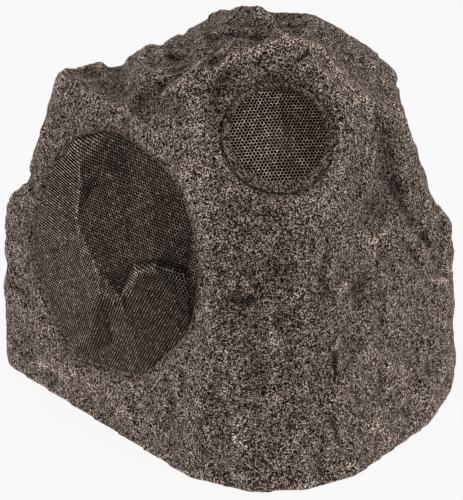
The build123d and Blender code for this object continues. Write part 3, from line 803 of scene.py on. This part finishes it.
def pressed_flats(name, outline, rim, ledge, seat, folds):
    """The flats of a pressed sheet seen along its axis; its folds are pixels of the photograph with a rise."""
    to_face = seat.inverted()
    eye = to_face @ camera.location
    corners = [(*point, ledge + rim) for point in outline]
    edges = [(i - 1, i) if i else (len(outline) - 1, 0) for i in range(len(outline))]
    for fold in folds:
        for step, (across, down, rise) in enumerate(fold):
            ray = to_face.to_3x3() @ pixel_ray(across, down)
            point = eye + ray * ((ledge + rise - eye.z) / ray.z)
            if step:
                edges.append((len(corners) - 1, len(corners)))
            corners.append(tuple(point))
    flat, _, faces, sources, _, _ = delaunay_2d_cdt([Vector(c[:2]) for c in corners], edges, [], 0, 1e-6)
    raised = [Vector((*point, corners[source[0]][2])) for point, source in zip(flat, sources)]
    grown = bmesh.new()
    for corner in raised:
        grown.verts.new(corner)
    grown.verts.ensure_lookup_table()
    for face in faces:
        grown.faces.new([grown.verts[i] for i in face])
    grown.normal_update()
    slopes = [tuple(face.normal) for face in grown.faces]
    middles = [tuple(face.calc_center_median()) for face in grown.faces]
    for vert in grown.verts:
        vert.co.z = 0
    mesh = to_mesh(name, grown)
    for layer_name, values in (("slope", slopes), ("through", middles)):
        layer = mesh.attributes.new(layer_name, "FLOAT_VECTOR", "FACE")
        layer.data.foreach_set("vector", np.array(values, np.float32).ravel())
    return mesh


def hole_cell(pitch):
    """One cell of the sheet: a six-sided web round a six-sided hole."""
    grown = bmesh.new()
    outer_radius = pitch / sqrt(3)
    rings = []
    for radius in (outer_radius, outer_radius * (1 - web_share)):
        turns = [radians(30 + 60 * i) for i in range(6)]
        rings.append([grown.verts.new((radius * cos(t), radius * sin(t), 0)) for t in turns])
    for i in range(6):
        j = (i + 1) % 6
        grown.faces.new((rings[0][i], rings[0][j], rings[1][j], rings[1][i]))
    return to_mesh("hole_cell", grown)


def perforation_tree():
    """Lays cells on a staggered grid, keeps those inside the field and lifts them to the pressed form."""
    tree, named, given = new_tree("perforated_sheet", [
        ("Form", "Object"), ("Field", "Object"), ("Cell", "Object"),
        ("Pitch", "Float"), ("Columns", "Int"), ("Rows", "Int"), ("Paint", "Material"),
    ])
    place = add_node(tree, "GeometryNodeInputPosition").outputs[0]
    form, field, cell = [
        add_node(tree, "GeometryNodeObjectInfo", {"Object": given[piece]}).outputs["Geometry"]
        for piece in ("Form", "Field", "Cell")
    ]
    row_step = maths(tree, "MULTIPLY", given["Pitch"], sqrt(3) / 2)
    wide, tall = [
        maths(tree, "MULTIPLY", maths(tree, "SUBTRACT", given[count], 1.0), step)
        for count, step in (("Columns", given["Pitch"]), ("Rows", row_step))
    ]
    grid = add_node(
        tree, "GeometryNodeMeshGrid",
        {"Size X": wide, "Size Y": tall, "Vertices X": given["Columns"], "Vertices Y": given["Rows"]},
    )
    index = add_node(tree, "GeometryNodeInputIndex").outputs[0]
    odd = maths(tree, "MODULO", maths(tree, "MODULO", index, given["Rows"]), 2.0)
    shift = maths(tree, "MULTIPLY", odd, maths(tree, "MULTIPLY", given["Pitch"], 0.5))
    stagger = add_node(tree, "ShaderNodeCombineXYZ", {"X": shift})
    points = add_node(tree, "GeometryNodeSetPosition", {"Geometry": grid.outputs[0], "Offset": stagger.outputs[0]})
    above = vector_maths(tree, "ADD", place, (0, 0, look_height))
    look = add_node(
        tree, "GeometryNodeRaycast",
        {"Target Geometry": field, "Source Position": above,
         "Ray Direction": (0, 0, -1), "Ray Length": 2 * look_height},
    )
    outside = add_node(tree, "FunctionNodeBooleanMath", {0: look.outputs["Is Hit"]}, operation="NOT")
    kept = add_node(
        tree, "GeometryNodeDeleteGeometry",
        {"Geometry": points.outputs[0], "Selection": outside.outputs[0]}, domain="POINT",
    )
    laid = add_node(tree, "GeometryNodeInstanceOnPoints", {"Points": kept.outputs[0], "Instance": cell})
    real = add_node(tree, "GeometryNodeRealizeInstances", {"Geometry": laid.outputs[0]})
    gap = maths(tree, "MULTIPLY", given["Pitch"], merge_share)
    whole = add_node(tree, "GeometryNodeMergeByDistance", {"Geometry": real.outputs[0], "Distance": gap})
    slope, through = [
        add_node(
            tree, "GeometryNodeSampleNearestSurface",
            {"Mesh": form, "Value": stored(tree, name, "FLOAT_VECTOR"), "Sample Position": place},
            data_type="FLOAT_VECTOR",
        ).outputs[0]
        for name in ("slope", "through")
    ]
    rise = vector_maths(tree, "DOT_PRODUCT", slope, vector_maths(tree, "SUBTRACT", through, place))
    steep = add_node(tree, "ShaderNodeSeparateXYZ", {0: slope})
    height = maths(tree, "DIVIDE", rise, steep.outputs["Z"])
    eased, flat = [blurred(tree, height, rounds, "FLOAT") for rounds in (fold_rounds, flat_rounds)]
    fold = maths(tree, "SUBTRACT", eased, flat)
    kept = add_node(tree, "GeometryNodeCaptureAttribute", {"Geometry": whole.outputs[0]}, domain="POINT")
    kept.capture_items.new("FLOAT", "Lift")
    kept.capture_items.new("FLOAT", "Fold")
    tree.links.new(eased, kept.inputs["Lift"])
    tree.links.new(fold, kept.inputs["Fold"])
    lift = add_node(tree, "ShaderNodeCombineXYZ", {"Z": kept.outputs["Lift"]})
    pressed = add_node(
        tree, "GeometryNodeSetPosition", {"Geometry": kept.outputs["Geometry"], "Offset": lift.outputs[0]}
    ).outputs[0]
    # Painted light on the flats: their tone follows how far they face the painted light's way
    side_light = vector_maths(tree, "DOT_PRODUCT", slope, painted_light_way)
    for name, value in (("fold_relief", kept.outputs["Fold"]), ("overspray", side_light)):
        pressed = store(tree, pressed, name, value)
    end_tree(tree, pressed, given["Paint"])
    return tree, named


# On the nets the tones lie closer; painted highlight pales the ridges, painted shade darkens the valleys, and the
# flats that face left are painted paler as if lit from there
grille_tones = [(0.30, "#564940"), (0.45, "#7a6b5f"), (0.55, "#8f7f72"), (0.66, "#ac9b8e"), (0.76, "#f0e3d8")]
grille_painted_light = [("fold_relief", -0.00020, 0.00020, 0.72, 3.20), ("overspray", -0.22, 0.22, 0.27, 1.19)]
grille_paint = speckled_paint("granite_paint_on_steel", grille_tones, 0.0022, 0.0, grille_painted_light)
# The holes' walls are painted a dull near-black as painted shade, so they read nearly black
hole_shade_paint = mottled_finish("painted_shade_in_holes", "#17120f", "#100d0b", 0.002, 0.85, gloss=0.02)
# The rolled edges carry the stone's speckle, a little darker
edge_tones = [(0.36, "#080402"), (0.445, "#241b16"), (0.52, "#453830"), (0.59, "#706057"), (0.68, "#c2b4aa")]
edge_paint = speckled_paint("granite_paint_on_edge", edge_tones, 0.0011, 0.0008, [])
perforation, socket_of = perforation_tree()
cell = new_object("hole_cell", hole_cell(hole_pitch))
band_steps = 120
ease_reach = 3
lean_start = 0.002
field_overlap = 0.0006


def stepped(outline, count):
    """Evenly spaced points along a closed outline."""
    corners = np.array([tuple(point) for point in outline] + [tuple(outline[0])])
    run = np.concatenate(([0], np.cumsum(np.linalg.norm(np.diff(corners, axis=0), axis=1))))
    at = np.linspace(0, run[-1], count, endpoint=False)
    return np.stack([np.interp(at, run, corners[:, i]) for i in (0, 1)], axis=1)


def edge_band(name, outline, profile, lean, finish):
    """The plain rolled edge of a grille: a closed band that eases inwards, its inner edge leaning up the face."""
    grown = bmesh.new()
    outer = stepped(outline, band_steps)
    steps = range(-ease_reach, ease_reach + 1)
    eased = sum(np.roll(outer, step, axis=0) for step in steps) / len(steps)
    loops = []
    for inset, height in profile:
        base = outer if inset <= 0 else eased
        shift = (0, lean if inset > lean_start else 0)
        points = base * (1 - inset / np.linalg.norm(base, axis=1, keepdims=True)) + shift
        loops.append([grown.verts.new((*point, height)) for point in points])
    for low, high in zip(loops, loops[1:] + loops[:1]):
        for i in range(len(low)):
            grown.faces.new((low[i - 1], low[i], high[i], high[i - 1]))
    bmesh.ops.recalc_face_normals(grown, faces=grown.faces)
    mesh = to_mesh(name, grown)
    mesh.materials.append(finish)
    return mesh


def field_inset(profile):
    """How far inside its opening a grille's perforated field ends, just under its rolled edge."""
    return max(inset for inset, height in profile) - field_overlap


def perforated_grille(name, grille_node, seat, growth, rim, lean, folds, profile):
    """A perforated sheet pressed into flats between its folds, with its plain rolled edge."""
    opening, ledge = seat_outline(grille_node, seat, growth)
    outline = [point * (1 - field_inset(profile) / point.length) + Vector((0, lean)) for point in opening]
    form = new_object(name + "_form", pressed_flats(name + "_form", outline, rim, ledge, seat, folds))
    grown = bmesh.new()
    grown.faces.new([grown.verts.new((*point, 0)) for point in outline])
    field = new_object(name + "_field", to_mesh(name + "_field", grown))
    reach = max(point.length for point in outline)
    made = new_object(name, bpy.data.meshes.new(name))
    run_tree(made, perforation, socket_of, {
        "Form": form, "Field": field, "Cell": cell, "Pitch": hole_pitch, "Paint": grille_paint,
        "Columns": 2 * int(reach / hole_pitch) + 3, "Rows": 2 * int(reach / (hole_pitch * sqrt(3) / 2)) + 3,
    })
    thick = made.modifiers.new("sheet", "SOLIDIFY")
    thick.thickness = sheet
    thick.offset = -1
    thick.material_offset = 1
    thick.material_offset_rim = 2
    made.data.materials.clear()
    for finish in (grille_paint, enamelled_steel, hole_shade_paint):
        made.data.materials.append(finish)
    settle(made)
    made.data.transform(seat)
    rolled = [(inset, ledge + height) for inset, height in profile]
    band = new_object(name + "_edge", edge_band(name + "_edge", opening, rolled, lean, edge_paint))
    band.data.transform(seat)
    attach(band, "root")
    bpy.data.objects.remove(form)
    bpy.data.objects.remove(field)
    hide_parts(grille_node)
    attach(made, "root")


woofer_edge = [(-0.0024, 0.0001), (-0.0024, 0.0034), (0.0002, 0.0028), (0.0021, 0.0014), (0.0021, 0.0001)]
tweeter_edge = [(-0.0024, 0.0001), (-0.0024, 0.0060), (0.0004, 0.0060), (0.0036, 0.0046), (0.0036, 0.0001)]
# Folds of the woofer's sheet: the long ridge with the small flat's left side, the top ridge, the lower plate's edge
# with the small flat's right side, the valley above that edge, the small flat's top and its hollow
woofer_folds = [
    [(75, 146, 0.007), (79, 164, 0.014), (80.5, 180, 0.018), (76, 220, 0.018), (76, 235, 0.018), (98, 272, 0.020),
     (99, 293, 0.019), (92.5, 307, 0.016), (89.5, 335, 0.0085), (92, 350, 0.004)],
    [(80.5, 180, 0.018), (99, 173, 0.0125), (113, 177, 0.0105), (131, 185, 0.008), (152, 184, 0.005)],
    [(190, 281, 0.003), (176, 274, 0.009), (155, 268, 0.0145), (137, 272, 0.0165), (131.5, 284, 0.0165),
     (125, 291, 0.0165), (121, 298, 0.0165), (127, 325, 0.010), (130, 354, 0.004)],
    [(188, 272, 0.002), (176, 267, 0.006), (155, 261, 0.0105), (134, 264, 0.0130), (126, 280, 0.0140)],
    [(99, 293, 0.019), (121, 298, 0.0165)],
    [(109, 318, 0.0105), (112, 342, 0.0045)],
]
tweeter_folds = [[(281, 94, 0.0062), (279, 134, 0.0085), (277, 172, 0.0062)]]
woofer_rim = 0.0012
tweeter_rim = 0.0045
tweeter_lean = 0.0026
perforated_grille(
    "woofer_grille_sheet", "woofer_grille", woofer_seat, woofer_growth, woofer_rim, 0.0, woofer_folds, woofer_edge
)
perforated_grille(
    "tweeter_grille_sheet", "tweeter_grille", tweeter_seat, 0.0, tweeter_rim, tweeter_lean,
    tweeter_folds, tweeter_edge,
)
bpy.data.objects.remove(cell)

# Crossover: a small glass-fibre board on the base, with a wound coil, film can and cement resistor.
# A terminal block takes the cable; two soft leads run to the drivers.
wire = 0.0009


def wound_wire(name, colour, gap, wire):
    """A winding of enamelled wire: bright rounded turns stacked along z, with painted shade darkening the gaps
    between them.
    """
    material, tree, place = new_finish(name)
    turns = waves_of(tree, place, wire, "Z")
    bump = add_node(tree, "ShaderNodeBump", {"Height": turns, "Distance": wire * 0.4})
    end_finish(tree, {
        "Base Color": blend_of(tree, turns, gap, colour), "Roughness": 0.32, "Metallic": 0.9,
        "Normal": bump.outputs[0],
    })
    return material


# Glass-fibre board: green, faintly cloudy from the weave under its lacquer
finish_nodes(["crossover_board"], mottled_finish("glass_fibre_board", "#2a6242", "#1f4f34", 0.0030, 0.45))
# The winding's darker colour is painted shade between the turns
finish_nodes(["woofer_inductor"], wound_wire("enamelled_copper_winding", "#cb8c59", "#6d3d20", wire))
# Film wrap: glossy mustard yellow
finish_nodes(["tweeter_capacitor"], mottled_finish("wrapped_film_can", "#c3a230", "#b08f26", 0.0060, 0.30))
# Cement: chalky off-white, slightly porous
finish_nodes(["padding_resistor"], mottled_finish("cement_resistor_body", "#dcd9d4", "#c4bfb6", 0.0010, 0.88))
# Terminal moulding: mid grey plastic
finish_nodes(["terminal_block"], mottled_finish("grey_terminal_plastic", "#5b5b5f", "#4c4c50", 0.0015, 0.55))
# Lead jacket: soft black vinyl with a low sheen
finish_nodes(["woofer_lead", "tweeter_lead"], mottled_finish("soft_lead_jacket", "#1c1c1c", "#282827", 0.0020, 0.58))

# Cable grommet: a soft rubber ring, pressed into the hole low on the back.
# The buried cable enters through it; the CAD piece stays as it is.
finish_nodes(["cable_grommet"], soft_rubber)

# Base plate: moulded plastic, flush in the stone's rim on a flat seal, with a sunk middle panel.
# Twelve countersunk screws along its edge go up into the rim's flange.
base_screws = 12
screw_inset = 0.0075
sink_radius = 0.0042
sink_depth = 0.0024
shank_radius = 0.0019
screw_reach = 0.0040
screw_sink = 0.0001
sink_overlap = 0.0010
panel_inset = 0.020
panel_depth = 0.0009

plate = new_object("base_plate_moulding", to_mesh("base_plate_moulding", welded("base_plate")))
plate.data.materials.clear()
plate.data.materials.append(black_plastic)
plate_corners = [corner for corner in node_corners("base_plate") if corner.z < plate_edge_top]
panel = prism("panel", outline_of(plate_corners, -panel_inset), -sink_overlap, panel_depth, Matrix.Identity(4))
cut_away(plate, panel, black_plastic)
screw_path = [(*point, 0.0) for point in outline_of(plate_corners, -screw_inset)]
sunk_profile = [
    (0, screw_sink), (sink_radius * 0.96, screw_sink), (shank_radius, sink_depth),
    (shank_radius, screw_reach), (0, screw_reach),
]
sink_profile = [
    (0, -sink_overlap), (sink_radius, -sink_overlap), (sink_radius, 0), (shank_radius * 1.1, sink_depth),
    (shank_radius * 1.1, screw_reach), (0, screw_reach),
]
grown = bmesh.new()
lathed(grown, sink_profile, turned_sides)
sink = new_object("sink", to_mesh("sink", grown))
sinks = set_along("sinks", screw_path, base_screws, sink, black_plastic)
cut_away(plate, sinks.data)
bpy.data.objects.remove(sinks)
bpy.data.objects.remove(sink)
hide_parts("base_plate")
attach(plate, "root")
finish_nodes(["base_seal"], soft_rubber)

sunk_screw = cross_screw("sunk_screw", sunk_profile, -1, sink_radius * 0.5)
sunk_screws = set_along("base_screws", screw_path, base_screws, sunk_screw, plated_steel)
bpy.data.objects.remove(sunk_screw)
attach(sunk_screws, "root")

# Studio: a white paper floor that fades to the background, with soft lights above and on both sides.
# The floor shows white to the camera but still takes part of the stone's shadow.
floor_size = 8.0
floor_white = "#f4f3f1"
floor_glow = 1.03
floor_glow_share = 0.85
air_level = 0.28


def seen_directly(tree):
    """One for rays from the camera, a reflection or glass, which see the white background, and else nothing."""
    seen = add_node(tree, "ShaderNodeLightPath").outputs
    shown = seen["Is Camera Ray"]
    for kind in ("Is Glossy Ray", "Is Transmission Ray"):
        shown = maths(tree, "MAXIMUM", shown, seen[kind])
    return shown


grown = bmesh.new()
bmesh.ops.create_grid(grown, x_segments=1, y_segments=1, size=floor_size / 2)
floor = new_object("studio_floor", to_mesh("studio_floor", grown))
floor_paper = bpy.data.materials.new("white_paper_floor")
floor_paper.use_nodes = True
tree = floor_paper.node_tree
tree.nodes.clear()
share = maths(tree, "MULTIPLY", seen_directly(tree), floor_glow_share)
paper = add_node(tree, "ShaderNodeBsdfDiffuse", {"Color": linear(floor_white)})
glow = add_node(tree, "ShaderNodeEmission", {"Color": (1, 1, 1, 1), "Strength": floor_glow})
mixed = add_node(tree, "ShaderNodeMixShader", {0: share, 1: paper.outputs[0], 2: glow.outputs[0]})
add_node(tree, "ShaderNodeOutputMaterial", {"Surface": mixed.outputs[0]})
floor.data.materials.append(floor_paper)

world = bpy.data.worlds.new("studio_air")
scene.world = world
world.use_nodes = True
tree = world.node_tree
tree.nodes.clear()
level = ranged(tree, seen_directly(tree), 0.0, 1.0, air_level, 1.0)
air = add_node(tree, "ShaderNodeBackground", {"Color": (1, 1, 1, 1), "Strength": level})
add_node(tree, "ShaderNodeOutputWorld", {"Surface": air.outputs[0]})
for name, place, size, power in (
    ("softbox_above", (0.1, -0.3, 2.5), 1.6, 9.0),
    ("softbox_left", (-2.1, -0.4, 0.8), 1.4, 17.0),
    ("softbox_right", (2.1, -0.4, 0.8), 1.4, 16.0),
):
    lamp = bpy.data.lights.new(name, "AREA")
    lamp.size = size
    lamp.energy = power
    holder = bpy.data.objects.new(name, lamp)
    holder.location = place
    holder.rotation_euler = (camera_target - Vector(place)).to_track_quat("-Z", "Y").to_euler()
    scene.collection.objects.link(holder)
scene.view_settings.view_transform = "Standard"
